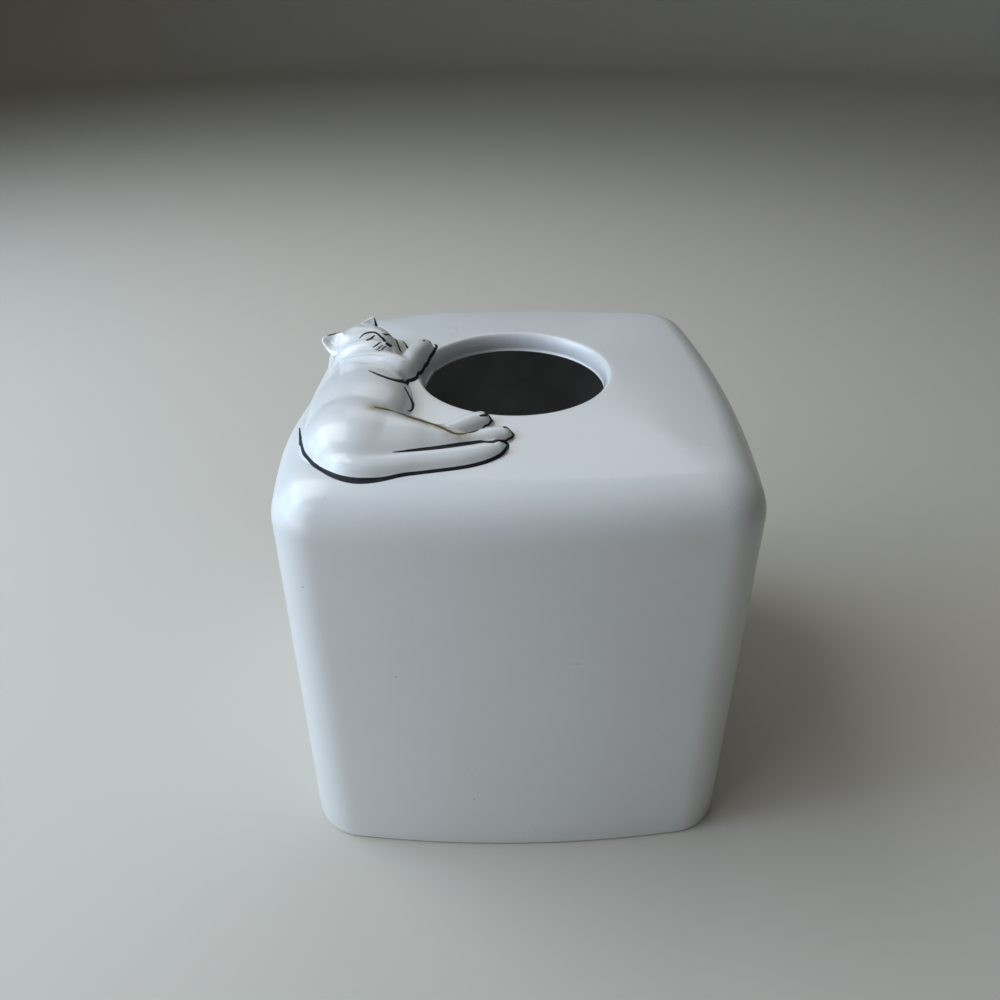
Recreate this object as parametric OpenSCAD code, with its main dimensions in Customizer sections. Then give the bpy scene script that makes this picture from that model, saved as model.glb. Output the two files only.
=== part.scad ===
// Glazed ceramic cover for a cube box of tissues, with a sleeping cat in relief on its roof.
// Millimetres, +Z up. The origin is the centre of the open foot, and the hole faces +Z.

/* [Cover] */
// Width and depth of the walls where the top edge starts to round over
cover_w = 140; // [120:0.5:170]
// Height of the roof where the rounded edge ends
cover_h = 136.5; // [120:0.5:160]
// Thickness of the wall and of the roof
wall_t = 5; // [4:0.25:7]
// How much further out each wall stands at the foot
side_draft = 2.9; // [0:0.1:6]
// Radius of the upright corners at the top of the walls
corner_r = 14.7; // [10:0.1:22]
// How far the middle of each wall bows out
side_bow = 3.9; // [1:0.1:6]
// Radius that is eased off the foot, outside
foot_ease = 1.2; // [0.4:0.1:2]

/* [Roof] */
// Radius of the rounding between the walls and the roof
edge_r = 14; // [10:0.1:20]
// Extra softness of that rounding beside the cat
edge_soft = 8; // [0:0.5:10]
// Rise of the roof from its edge towards the middle
roof_rise = 4.5; // [1:0.1:8]
// Diameter of the hole that the tissues come through
hole_d = 56.8; // [44:0.2:70]
// Depth of the turned-down lip of the hole
lip_depth = 6.3; // [5.5:0.1:12]
// Radius of the lip's upper rim
lip_r = 2; // [1:0.1:4]
// Width of the collar under the lip
collar_w = 4; // [3:0.1:8]

/* [Cat] */
// Height of the relief that the height shares are taken of
relief_h = 10; // [6:0.5:14]
// Thickness of an ear
ear_t = 3; // [2:0.1:5]
// How far each piece is pressed into what it lies on
press_in = 0.8; // [0.4:0.1:1.5]

/* [Hidden] */
half_w = cover_w/2;
hole_r = hole_d/2;
band = half_w - hole_r;          // plan width between the hole and the walls
roof_a = half_w - 0.846*edge_r;  // where the rounded edge meets the roof, at mid-side
top_corner_r = 0.61*corner_r;
top_bow = 0.76*side_bow;
end_deg = 81.3;                  // the rounded edge stops here, tangent to the risen roof
lip_end_deg = 78;                // the lip's rounding stops just short of flat
rim_share = 0.52;
edge_z = cover_h - edge_r*(1 - sin(end_deg));
rim_z = edge_z + roof_rise*(1 - rim_share*rim_share);
rim_r = hole_r + lip_r;
core_r = 0.85*hole_r;            // the loft stops here, inside the hole that is cut out

// Directions between which the edge beside the cat is softened
soft_from = 112;
soft_full = 142;
soft_fade = 170;
soft_end = 208;
inner_soft_share = 0.4;

side_steps = 10;
corner_steps = 8;
edge_steps = 9;
inner_edge_steps = 6;
roof_steps = 4;
across_steps = 12;
under_steps = 6;
along_steps = 2;
ear_steps = 6;
ear_points = 18;
ear_root_steps = 2;              // rings of an ear inside the head
ear_taper_share = 0.62;          // of an ear's half width, what it loses on the way to its rounded tip
quarter_deg = 90;
lip_steps = 8;

white = [0.93, 0.94, 0.95];
cream = [0.90, 0.91, 0.92];

// The cat's pieces, each row one place along it: how far left of the hole's edge, how far back of its
// centre, and half width, all as shares of the band between hole and wall, and height as a share of
// relief_h
torso_shares = [
    [0.615, 0.365, 0.139, 0.58], [0.567, 0.240, 0.207, 0.78], [0.505, 0.072, 0.260, 0.74],
    [0.481, -0.072, 0.274, 0.74], [0.462, -0.216, 0.312, 0.78], [0.438, -0.361, 0.356, 0.84],
    [0.418, -0.505, 0.373, 0.88], [0.411, -0.649, 0.363, 0.86], [0.423, -0.793, 0.317, 0.76],
    [0.435, -0.913, 0.240, 0.60]
];
haunch_shares = [
    [0.702, -0.825, 0.067, 0.32], [0.673, -0.837, 0.135, 0.62], [0.611, -0.868, 0.221, 0.82],
    [0.510, -0.923, 0.298, 0.92], [0.399, -0.969, 0.322, 0.93], [0.291, -0.995, 0.300, 0.84],
    [0.171, -1.014, 0.264, 0.73], [0.026, -1.031, 0.216, 0.65], [-0.118, -1.048, 0.159, 0.52],
    [-0.250, -1.058, 0.103, 0.40], [-0.370, -1.038, 0.077, 0.32], [-0.478, -1.000, 0.082, 0.32],
    [-0.587, -0.966, 0.077, 0.28], [-0.635, -0.952, 0.055, 0.21], [-0.654, -0.945, 0.029, 0.13]
];
far_hind_shares = [
    [-0.010, -0.966, 0.067, 0.34], [-0.106, -0.971, 0.075, 0.38], [-0.190, -0.952, 0.077, 0.36],
    [-0.286, -0.904, 0.082, 0.36], [-0.370, -0.849, 0.087, 0.37], [-0.442, -0.808, 0.077, 0.33],
    [-0.495, -0.779, 0.048, 0.22]
];
tail_shares = [
    [0.702, -0.805, 0.053, 0.22], [0.663, -0.945, 0.072, 0.30], [0.596, -1.077, 0.087, 0.35],
    [0.505, -1.183, 0.099, 0.40], [0.399, -1.257, 0.101, 0.42], [0.279, -1.281, 0.099, 0.40],
    [0.135, -1.272, 0.094, 0.37], [-0.034, -1.240, 0.089, 0.35], [-0.202, -1.216, 0.087, 0.33],
    [-0.346, -1.190, 0.084, 0.32], [-0.466, -1.154, 0.077, 0.30], [-0.550, -1.115, 0.060, 0.24],
    [-0.596, -1.091, 0.031, 0.14]
];
upper_arm_shares = [
    [0.519, 0.096, 0.115, 0.64], [0.423, 0.062, 0.154, 0.79], [0.327, 0.014, 0.154, 0.78],
    [0.236, -0.034, 0.135, 0.72], [0.166, -0.077, 0.111, 0.63], [0.118, -0.111, 0.067, 0.42]
];
forearm_shares = [
    [0.139, -0.120, 0.062, 0.38], [0.125, -0.062, 0.096, 0.56], [0.106, 0.048, 0.101, 0.57],
    [0.087, 0.168, 0.101, 0.54], [0.055, 0.288, 0.099, 0.50], [0.019, 0.397, 0.096, 0.44],
    [-0.002, 0.464, 0.077, 0.35], [-0.017, 0.505, 0.048, 0.22]
];
far_forepaw_shares = [
    [0.327, 0.389, 0.077, 0.50], [0.284, 0.389, 0.087, 0.55], [0.240, 0.394, 0.087, 0.52],
    [0.188, 0.406, 0.075, 0.43], [0.149, 0.416, 0.050, 0.27]
];
head_shares = [
    [0.716, 0.538, 0.087, 0.30], [0.697, 0.529, 0.135, 0.54], [0.663, 0.514, 0.183, 0.76],
    [0.620, 0.498, 0.221, 0.94], [0.567, 0.471, 0.240, 1.04], [0.505, 0.433, 0.245, 1.05],
    [0.445, 0.392, 0.226, 1.02], [0.389, 0.361, 0.173, 0.93], [0.346, 0.334, 0.115, 0.76],
    [0.317, 0.315, 0.062, 0.46]
];
left_ear_shares = [[0.697, 0.207, 0.585], [0.642, 0.370, 1.165], [0.815, 0.370, 0.955]];
right_ear_shares = [[0.394, 0.553, 0.733], [0.548, 0.572, 0.833], [0.428, 0.572, 1.163]];

function sq(x) = x*x;
function soft_step(x) = let(c = max(0, min(1, x))) c*c*(3 - 2*c);
function fold(d) = let(m = d - 90*floor(d/90)) m > 45 ? 90 - m : m;

// A bowed square is four side arcs and four corner arcs, tangent to each other
function bow_r(a, rc, bow) = (sq(a - rc) + sq(bow))/(2*bow) + rc;
function corner_c(a, rc, bow) = let(r = bow_r(a, rc, bow))
    (sqrt(2*sq(r - rc) - sq(r - a)) - (r - a))/2;
function turn_deg(a, rc, bow) = let(r = bow_r(a, rc, bow), c = corner_c(a, rc, bow))
    atan2(r*sin(atan2(c, c + r - a)), a - r + r*cos(atan2(c, c + r - a)));

// Distance from the axis to the outline of a bowed square in direction d
function reach(a, rc, bow, d) = let(f = fold(d), r = bow_r(a, rc, bow), c = corner_c(a, rc, bow),
        dot = c*(cos(f) + sin(f)))
    f <= turn_deg(a, rc, bow) ? (a - r)*cos(f) + sqrt(sq(r) - sq((a - r)*sin(f)))
                              : dot + sqrt(max(0, sq(rc) - (2*sq(c) - sq(dot))));

function softness(d) = let(m = d - 360*floor(d/360))
    edge_soft*soft_step((soft_end - m)/(soft_end - soft_fade))
        *soft_step((m - soft_from)/(soft_full - soft_from));
function wall_reach(d) = reach(half_w, corner_r, side_bow, d);
function foot_reach(d) = reach(half_w + side_draft, corner_r + side_draft, side_bow, d);
function roof_reach(d) = reach(roof_a, top_corner_r, top_bow, d) - softness(d);
function roof_z_at(t) = edge_z + roof_rise*(1 - sq(1 - (1 - rim_share)*t));
function edge_share(p) = (1 - cos(p))/(1 - cos(end_deg));

// Height of the cover's outer surface over a point of its plan
function roof_z(x, y) = let(d = atan2(y, x), p = norm([x, y]), r0 = wall_reach(d), r1 = roof_reach(d),
        r = edge_r + softness(d), q = max(0, min(1, (r0 - p)/(r0 - r1))), c = 1 - q*(1 - cos(end_deg)))
    p < r1 ? roof_z_at((r1 - p)/(r1 - rim_r)) : edge_z - r*sin(end_deg) + r*sqrt(1 - c*c);

// The wall's section in direction d, out and up over the outside, then down the inside
function wall_section(d) = let(r0 = wall_reach(d), r1 = roof_reach(d), f = foot_reach(d), s = softness(d),
        r = edge_r + s, zt = edge_z - r*sin(end_deg), ri = edge_r - wall_t + inner_soft_share*s,
        i0 = reach(half_w - wall_t, corner_r - wall_t, side_bow, d),
        i1 = i0 - (r0 - r1)*ri/r, zi = edge_z - wall_t - ri*sin(end_deg), under_r = rim_r + wall_t)
    concat(
        [[f - foot_ease, 0], [f, foot_ease]],
        [for (k = [0:edge_steps]) let(p = end_deg*k/edge_steps)
            [r0 + (r1 - r0)*edge_share(p), zt + r*sin(p)]],
        [for (k = [1:roof_steps]) let(t = k/roof_steps) [r1 + (rim_r - r1)*t, roof_z_at(t)]],
        [[core_r, rim_z], [core_r, rim_z - lip_depth], [hole_r + collar_w, rim_z - lip_depth]],
        [for (k = [roof_steps:-1:1]) let(t = k/roof_steps)
            [i1 + (under_r + collar_w - i1)*t, roof_z_at(t) - wall_t]],
        [for (k = [inner_edge_steps:-1:0]) let(p = end_deg*k/inner_edge_steps)
            [i0 + (i1 - i0)*edge_share(p), zi + ri*sin(p)]],
        [[f - wall_t, 0]]);

// Directions of the loft's sections, closer together round the corners
function quarter_dirs() = let(t = turn_deg(half_w, corner_r, side_bow)) concat(
    [for (i = [0:side_steps - 1]) -t + 2*t*i/side_steps],
    [for (i = [0:corner_steps - 1]) t + (quarter_deg - 2*t)*i/corner_steps]);
function all_dirs() = [for (q = [0:3]) for (d = quarter_dirs()) d + quarter_deg*q];

// Skin over rings of points. A closed skin joins the last ring to the first; an open one gets end caps.
module skin(rings, closed) {
    n = len(rings);
    m = len(rings[0]);
    points = [for (ring = rings) for (p = ring) p];
    sides = [for (i = [0:(closed ? n : n - 1) - 1]) for (j = [0:m - 1])
        let(a = i*m + j, b = i*m + (j + 1) % m, c = ((i + 1) % n)*m + (j + 1) % m, e = ((i + 1) % n)*m + j)
        each [[a, b, c], [a, c, e]]];
    caps = closed ? [] : [[for (j = [m - 1:-1:0]) j], [for (j = [0:m - 1]) (n - 1)*m + j]];
    polyhedron(points, concat(sides, caps), convexity = 6);
}

module shell_body() {
    skin([for (d = all_dirs()) [for (s = wall_section(d)) [s[0]*cos(d), s[0]*sin(d), s[1]]]], true);
}

// What the hole takes out: straight below, flared by the lip's rim at the top
module hole_core() {
    rotate_extrude($fn = 120)
        polygon(concat([[0, rim_z - 2*lip_depth], [hole_r, rim_z - 2*lip_depth]],
            [for (k = [0:lip_steps]) let(p = lip_end_deg*k/lip_steps)
                [rim_r - lip_r*cos(p), rim_z - lip_r + lip_r*sin(p)]],
            [[rim_r - lip_r*cos(lip_end_deg), rim_z + lip_r], [0, rim_z + lip_r]]));
}

module cover_shell() {
    color(white) difference() {
        shell_body();
        hole_core();
    }
}

function plan_place(row) = [-hole_r - row[0]*band, row[1]*band];

// Rows between the given ones, so that a piece curves smoothly along its length
function blend4(a, b, c, e, t) =
    0.5*((2*b) + (c - a)*t + (2*a - 5*b + 4*c - e)*t*t + (3*b - a - 3*c + e)*t*t*t);
function station(rows, i) = let(n = len(rows) - 1, k = max(0, min(n, i)), p = plan_place(rows[k]))
    [p[0], p[1], rows[k][2]*band, rows[k][3]*relief_h];
function stations(rows) = [for (i = [0:len(rows) - 2])
    for (k = [0:(i == len(rows) - 2 ? along_steps : along_steps - 1)])
        blend4(station(rows, i - 1), station(rows, i), station(rows, i + 1), station(rows, i + 2),
            k/along_steps)];
function heading(st, i) = let(n = len(st) - 1, a = st[max(0, i - 1)], b = st[min(n, i + 1)],
        v = [b[0] - a[0], b[1] - a[1]]) v/norm(v);

// One soft form lying on the roof: a rounded section at every station, its underside following the
// cover and pressed into it
module lying_form(rows, depth = press_in) {
    st = stations(rows);
    rings = [for (i = [0:len(st) - 1]) let(h = heading(st, i), side = [-h[1], h[0]], s = st[i]) concat(
        [for (j = [0:across_steps]) let(u = -cos(180*j/across_steps), x = s[0] + side[0]*s[2]*u,
            y = s[1] + side[1]*s[2]*u) [x, y, roof_z(x, y) + s[3]*pow(sin(180*j/across_steps), 0.85)]],
        [for (j = [under_steps:-1:0]) let(u = -cos(180*j/under_steps), x = s[0] + side[0]*s[2]*u,
            y = s[1] + side[1]*s[2]*u) [x, y, roof_z(x, y) - depth]])];
    skin(rings, false);
}

// An ear's heights are counted from the roof under the middle of its root, as the head's are from the
// roof under each place
function root_z(rows) = let(m = (plan_place(rows[0]) + plan_place(rows[1]))/2) roof_z(m[0], m[1]);
function ear_place(row, base) = let(p = plan_place(row)) [p[0], p[1], base + row[2]*relief_h];

// An ear is a leaf from its root line to its tip, dished on the side that faces the front
module ear(rows) {
    base = root_z(rows);
    a = ear_place(rows[0], base);
    b = ear_place(rows[1], base);
    tip = ear_place(rows[2], base);
    w = norm(b - a)/2;
    across = (b - a)/(2*w);
    along = tip - (a + b)/2;
    flat = cross(across, along);
    face = flat/norm(flat);
    rings = [for (k = [-ear_root_steps:ear_steps])
        let(s = k/ear_steps, r = k < 0 ? 1 : max(0.06, sqrt(1 - pow(s, 3))*(1 - ear_taper_share*s)))
        [for (j = [0:ear_points - 1]) let(p = 360*j/ear_points, dish = sin(p) > 0 ? 1 - 1.2*sq(sin(p)) : 1)
            (a + b)/2 + along*s + across*w*r*cos(p) + face*ear_t/2*sqrt(r)*sin(p)*dish]];
    skin(rings, false);
}

module cat_torso() color(white) lying_form(torso_shares);
module cat_haunch() color(white) lying_form(haunch_shares);
module cat_hind_leg_far() color(cream) lying_form(far_hind_shares);
module cat_tail() color(cream) lying_form(tail_shares);
module cat_foreleg_near() color(cream) union() {
    lying_form(upper_arm_shares);
    lying_form(forearm_shares, 2*press_in);
}
module cat_forepaw_far() color(cream) lying_form(far_forepaw_shares);
module cat_head() color(white) lying_form(head_shares);
module cat_ear_left() color(cream) ear(left_ear_shares);
module cat_ear_right() color(cream) ear(right_ear_shares);

cover_shell();
cat_torso();
cat_haunch();
cat_hind_leg_far();
cat_tail();
cat_foreleg_near();
cat_forepaw_far();
cat_head();
cat_ear_left();
cat_ear_right();
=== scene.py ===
import math
import bmesh
import bpy
import numpy as np
from mathutils import Matrix, Vector


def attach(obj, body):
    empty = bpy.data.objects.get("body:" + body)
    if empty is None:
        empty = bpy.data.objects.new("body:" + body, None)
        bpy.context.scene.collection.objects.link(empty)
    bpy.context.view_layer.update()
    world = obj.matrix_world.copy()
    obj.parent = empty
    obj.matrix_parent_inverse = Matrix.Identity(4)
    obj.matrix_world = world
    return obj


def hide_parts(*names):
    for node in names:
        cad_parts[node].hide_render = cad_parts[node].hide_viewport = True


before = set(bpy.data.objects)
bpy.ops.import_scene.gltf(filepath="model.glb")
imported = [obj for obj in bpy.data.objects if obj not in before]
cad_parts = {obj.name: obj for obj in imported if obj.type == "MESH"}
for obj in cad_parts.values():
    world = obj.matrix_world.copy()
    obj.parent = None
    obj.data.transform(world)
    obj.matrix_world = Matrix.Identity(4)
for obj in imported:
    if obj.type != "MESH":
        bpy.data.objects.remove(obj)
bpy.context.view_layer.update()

mm = 0.001

# cover: sizes in mm, angles in degrees
cover = {
    "halfWidth": 70.0,        # walls at the top, to the crest of their bow
    "height": 136.5,          # roof where the rounded edge ends
    "wall": 5.0,
    "draft": 2.9,             # each wall stands this much further out at the foot
    "cornerRadius": 14.7,
    "bow": 3.9,
    "footEase": 1.2,
    "edgeRadius": 14.0,
    "edgeSoft": 8.0,          # extra softness beside the cat
    "softFrom": 112.0, "softFull": 142.0, "softFade": 170.0, "softEnd": 208.0,
    "innerSoftShare": 0.4,    # the inside follows the softness by this share
    "endDeg": 81.3,           # the rounded edge stops here, tangent to the risen roof
    "roofIn": 0.846,          # the roof starts this many edge radii inside the walls
    "roofCorner": 0.61,       # its corners and its bow as shares of the walls'
    "roofBow": 0.76,
    "roofRise": 4.5,
    "rimShare": 0.52,         # slope left at the hole's rim, as a share of the roof's slope at its edge
    "holeRadius": 28.4,
    "lipDepth": 6.3,
    "lipRadius": 2.0,         # the rim is rounded this far in
    "lipDrop": 4.6,           # and this far down, under the glaze
    "lipEase": 0.5,           # rounding of the lip's lower edge
    "collar": 4.0,            # wall of the lip, seen from below
}
c = cover
endCos, endSin = math.cos(math.radians(c["endDeg"])), math.sin(math.radians(c["endDeg"]))
edgeZ = c["height"] - c["edgeRadius"] * (1 - endSin)
rimZ = edgeZ + c["roofRise"] * (1 - c["rimShare"] ** 2)
rimRadius = c["holeRadius"] + c["lipRadius"]


def smoothStep(x):  # 3x^2 - 2x^3, clamped
    x = np.clip(x, 0, 1)
    return x * x * (3 - 2 * x)


def reach(half, corner, bow, ang):
    # distance from the axis to a bowed square: four side arcs of a large radius r, whose crests are at half,
    # and four corner arcs round points (k, k), all tangent
    t = np.mod(ang, math.pi / 2)
    t = np.where(t > math.pi / 4, math.pi / 2 - t, t)
    r = ((half - corner) ** 2 + bow ** 2) / (2 * bow) + corner
    k = (math.sqrt(2 * (r - corner) ** 2 - (r - half) ** 2) - (r - half)) / 2
    turn = math.atan2(k, k + r - half)
    turn = math.atan2(r * math.sin(turn), half - r + r * math.cos(turn))
    side = (half - r) * np.cos(t) + np.sqrt(r ** 2 - ((half - r) * np.sin(t)) ** 2)
    dot = k * (np.cos(t) + np.sin(t))
    round_ = dot + np.sqrt(np.maximum(corner ** 2 - (2 * k * k - dot ** 2), 0))
    return np.where(t <= turn, side, round_)


def softness(ang):
    # edgeSoft times a smooth step up, from softFrom to softFull, and one down, from softFade to softEnd
    d = np.degrees(np.mod(ang, 2 * math.pi))
    rise = smoothStep((d - c["softFrom"]) / (c["softFull"] - c["softFrom"]))
    fall = smoothStep((c["softEnd"] - d) / (c["softEnd"] - c["softFade"]))
    return c["edgeSoft"] * fall * rise


def wallReach(ang):  # the walls at the top
    return reach(c["halfWidth"], c["cornerRadius"], c["bow"], ang)


def footReach(ang):  # the walls at the foot
    return reach(c["halfWidth"] + c["draft"], c["cornerRadius"] + c["draft"], c["bow"], ang)


def roofReach(ang):  # where the rounded edge runs over into the risen roof
    half = c["halfWidth"] - c["roofIn"] * c["edgeRadius"]
    return reach(half, c["roofCorner"] * c["cornerRadius"], c["roofBow"] * c["bow"], ang) - softness(ang)


def roofHeightAt(t):
    # a parabola, edgeZ + rise (1 - (1 - (1 - rimShare) t)^2), from the rounded edge, 0, to the hole's rim, 1
    return edgeZ + c["roofRise"] * (1 - (1 - (1 - c["rimShare"]) * t) ** 2)


def roofZ(x, y):
    # height of the cover over a place: the edge's ellipse, then the roof's parabola, then the rounded rim
    ang, p = np.arctan2(y, x), np.hypot(x, y)
    r0, r1 = wallReach(ang), roofReach(ang)
    r = c["edgeRadius"] + softness(ang)
    k = 1 - np.clip((r0 - p) / (r0 - r1), 0, 1) * (1 - endCos)
    edge = edgeZ - r * endSin + r * np.sqrt(np.maximum(1 - k * k, 0))
    roof = roofHeightAt(np.minimum((r1 - p) / (r1 - rimRadius), 1.0))
    inward = np.clip((rimRadius - p) / c["lipRadius"], 0, 1)
    roof = roof - c["lipDrop"] * (1 - np.sqrt(1 - inward ** 2))
    return np.where(p < r1, roof, edge)


# meshes
def newMesh(name, verts, faces):  # smooth-shaded quads, verts in mm
    mesh = bpy.data.meshes.new(name)
    verts = np.asarray(verts, dtype=np.float64).reshape(-1, 3) * mm
    faces = np.asarray(faces, dtype=np.int32)
    mesh.vertices.add(len(verts))
    mesh.vertices.foreach_set("co", verts.ravel())
    mesh.loops.add(faces.size)
    mesh.loops.foreach_set("vertex_index", faces.ravel())
    mesh.polygons.add(len(faces))
    mesh.polygons.foreach_set("loop_start", np.arange(len(faces), dtype=np.int32) * faces.shape[1])
    mesh.polygons.foreach_set("use_smooth", np.full(len(faces), True))
    mesh.update(calc_edges=True)
    mesh.validate()
    obj = bpy.data.objects.new(name, mesh)
    bpy.context.scene.collection.objects.link(obj)
    return obj


def gridFaces(rows, cols, closeRows=False, closeCols=False):
    # quads between the points of a grid, counted row by row; closed round either way where asked
    i = np.arange(rows if closeRows else rows - 1)[:, None]
    j = np.arange(cols if closeCols else cols - 1)[None, :]
    a = i * cols + j
    b = i * cols + (j + 1) % cols
    d = ((i + 1) % rows) * cols + j
    e = ((i + 1) % rows) * cols + (j + 1) % cols
    return np.stack([a, d, e, b], -1).reshape(-1, 4)


def addPiece(obj, slotName, *nodes):  # a piece of the one body, standing for its CAD nodes
    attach(obj, "root")
    if nodes:
        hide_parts(*nodes)
    return obj


def coverProfile(ang):
    # the shell's section in each direction, up over the outside and down the inside: straight walls, quarter
    # ellipses at the edges, the roof's parabola, and the lip; put adds one ring, and tells if it is inside
    r0, r1, s, foot = wallReach(ang), roofReach(ang), softness(ang), footReach(ang)
    r = c["edgeRadius"] + s
    zt = edgeZ - r * endSin
    ri = c["edgeRadius"] - c["wall"] + c["innerSoftShare"] * s
    i0 = reach(c["halfWidth"] - c["wall"], c["cornerRadius"] - c["wall"], c["bow"], ang)
    i1 = i0 - (r0 - r1) * ri / r
    zi = edgeZ - c["wall"] - ri * endSin
    one = np.ones_like(ang)
    out, z, inner = [], [], []

    def put(radius, height, isInner):
        out.append(radius * one)
        z.append(height * one)
        inner.append(isInner)

    for p in np.radians(np.linspace(0, 90, 6)):      # eased foot
        put(foot - c["footEase"] * (1 - np.sin(p)), c["footEase"] * (1 - np.cos(p)), 0)
    for t in np.linspace(0, 1, 16)[1:-1]:            # wall
        put(foot + (r0 - foot) * t, c["footEase"] + (zt - c["footEase"]) * t, 0)
    for p in np.radians(np.linspace(0, c["endDeg"], 26)):      # rounded edge
        put(r0 + (r1 - r0) * (1 - np.cos(p)) / (1 - endCos), zt + r * np.sin(p), 0)
    for t in np.linspace(0, 1, 18)[1:]:              # risen roof
        put(r1 + (rimRadius - r1) * t, roofHeightAt(t), 0)
    for p in np.radians(np.linspace(90, 0, 18))[1:]:           # rim of the lip
        put(rimRadius - c["lipRadius"] * np.cos(p), rimZ - c["lipDrop"] * (1 - np.sin(p)), 0)
    lowZ = rimZ - c["lipDepth"]
    put(c["holeRadius"], lowZ + c["lipEase"], 0)
    for p in np.radians(np.linspace(0, 90, 5)):      # lower edge of the lip
        put(c["holeRadius"] + c["lipEase"] * (1 - np.cos(p)), lowZ + c["lipEase"] * (1 - np.sin(p)), 1)
    put(c["holeRadius"] + c["collar"], lowZ, 1)
    for t in np.linspace(1, 0, 8)[:-1]:              # roof, edge and wall again, from inside
        put(i1 + (rimRadius + c["wall"] + c["collar"] - i1) * t, roofHeightAt(t) - c["wall"], 1)
    for p in np.radians(np.linspace(c["endDeg"], 0, 14)):
        put(i0 + (i1 - i0) * (1 - np.cos(p)) / (1 - endCos), zi + ri * np.sin(p), 1)
    for t in np.linspace(0, 1, 6)[1:]:
        put(i0 + (foot - c["wall"] - i0) * t, zi * (1 - t), 1)
    return np.array(out), np.array(z), np.array(inner)


def buildCover(around=360):
    # the section turned round the axis: (out cos a, out sin a, z)
    ang = np.linspace(0, 2 * math.pi, around, endpoint=False)
    out, z, inner = coverProfile(ang)
    pts = np.stack([out * np.cos(ang), out * np.sin(ang), z], -1)
    rows = len(out)
    faces = gridFaces(rows, around, closeRows=True, closeCols=True)[:, ::-1]
    obj = newMesh("coverShell", pts, faces)
    row = np.repeat(np.arange(rows), around)
    obj.data.polygons.foreach_set("material_index", inner[row].astype(np.int32))
    return obj


# cat: rows are x, y, half width, height above the roof, mm
cat = {
    "torso": [
        (-54.9, 15.5, 6.5, 6.6), (-53.0, 12.4, 7.8, 7.1), (-51.0, 9, 8.6, 7.2), (-49.2, 3, 10.6, 7.3),
        (-48.5, -3, 11.0, 7.2), (-47.7, -9, 12.6, 7.6), (-46.6, -15, 14.6, 8.3),
        (-45.9, -21, 15.3, 8.8), (-45.6, -26, 14.8, 8.8), (-46.0, -31, 13.2, 8.6),
    ],
    "haunch": [
        (-51.0, -36.6, 8.2, 7.4), (-48.8, -37.9, 10.8, 8.8), (-46.3, -39.4, 12.8, 9.4),
        (-43, -40.8, 13.1, 9.0), (-39, -41.7, 12.2, 7.9), (-35, -42.3, 10.8, 7.3),
        (-30, -42.9, 9.1, 6.6), (-25, -43.5, 7.0, 5.4), (-20, -44.0, 5.0, 4.4), (-16, -43.8, 3.7, 3.6),
        (-13, -43.2, 3.1, 3.1), (-10, -42.1, 3.2, 3.1), (-7.4, -41.2, 3.4, 3.1),
        (-4.4, -40.3, 3.2, 2.8),
    ],
    "hindLegFar": [
        (-32, -39.6, 3.0, 4.6), (-26, -40.2, 3.2, 4.1), (-20.5, -39.6, 3.2, 3.5),
        (-16.5, -37.6, 3.4, 3.6), (-13, -35.3, 3.6, 3.7), (-10.2, -33.7, 3.4, 3.4),
    ],
    "tail": [
        (-53.6, -40.6, 2.6, 2.4), (-51.7, -45.0, 3.1, 3.1), (-48.6, -49.1, 3.7, 3.8),
        (-45, -52.0, 4.1, 4.1), (-40, -53.3, 4.1, 3.9), (-34, -52.9, 3.9, 3.6), (-27, -51.6, 3.7, 3.4),
        (-20, -50.6, 3.6, 3.2), (-14, -49.5, 3.5, 3.1), (-9, -48.0, 3.3, 2.9), (-6.0, -46.6, 2.9, 2.6),
    ],
    "upperArm": [
        (-48, 2.6, 6.0, 7.8), (-44.5, 1.2, 6.4, 8.0), (-41, -0.2, 6.2, 7.8), (-37.8, -1.6, 5.4, 7.2),
        (-35.4, -2.8, 4.6, 6.4),
    ],
    "forelegNear": [
        (-37.0, -2.2, 4.8, 6.6), (-35.2, -2.8, 4.4, 6.1), (-33.8, -2.4, 4.2, 5.8), (-32.9, 2, 4.1, 5.7),
        (-32.1, 7, 4.1, 5.3), (-30.8, 12, 4.0, 4.9), (-29.8, 15.9, 3.9, 4.3),
    ],
    "forepawFar": [(-43, 14.8, 3.6, 5.6), (-40.2, 15.8, 3.8, 5.4), (-37.7, 16.4, 3.4, 4.7)],
    "head": [
        (-57.0, 21.4, 5.2, 6.8), (-55.4, 21.0, 7.4, 9.0), (-53.4, 20.4, 8.8, 10.0),
        (-51.6, 19.4, 9.6, 10.4), (-49.8, 18.2, 9.8, 10.6), (-48.0, 17.0, 9.4, 10.5),
        (-46.2, 15.8, 8.4, 10.1), (-44.4, 14.6, 6.8, 9.3), (-42.9, 13.8, 4.9, 8.0),
    ],
    "neck": [
        (-53.5, 9.2, 5.3, 8.9), (-50.5, 9.0, 5.9, 9.6), (-47.0, 8.3, 5.9, 9.7), (-44.0, 7.4, 5.2, 9.0),
        (-41.4, 7.6, 4.3, 8.2),
    ],
    "cheek": [(-53.6, 13.6, 4.4, 9.9), (-51.2, 13.3, 5.0, 10.0), (-48.8, 12.9, 4.6, 9.7)],
    "earRoot": [
        (-56.5, 7.7, 2.2, 5.4), (-55.7, 10.1, 2.7, 7.1), (-55.0, 12.6, 3.4, 9.0),
        (-54.4, 14.6, 4.0, 10.7), (-53.4, 16.6, 4.8, 10.8), (-52.0, 17.8, 5.6, 10.3),
    ],
    "earRootFar": [(-51.0, 21.5, 4.4, 10.6), (-48.0, 22.6, 3.2, 10.0), (-46.4, 22.9, 2.0, 9.0)],
}
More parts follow.
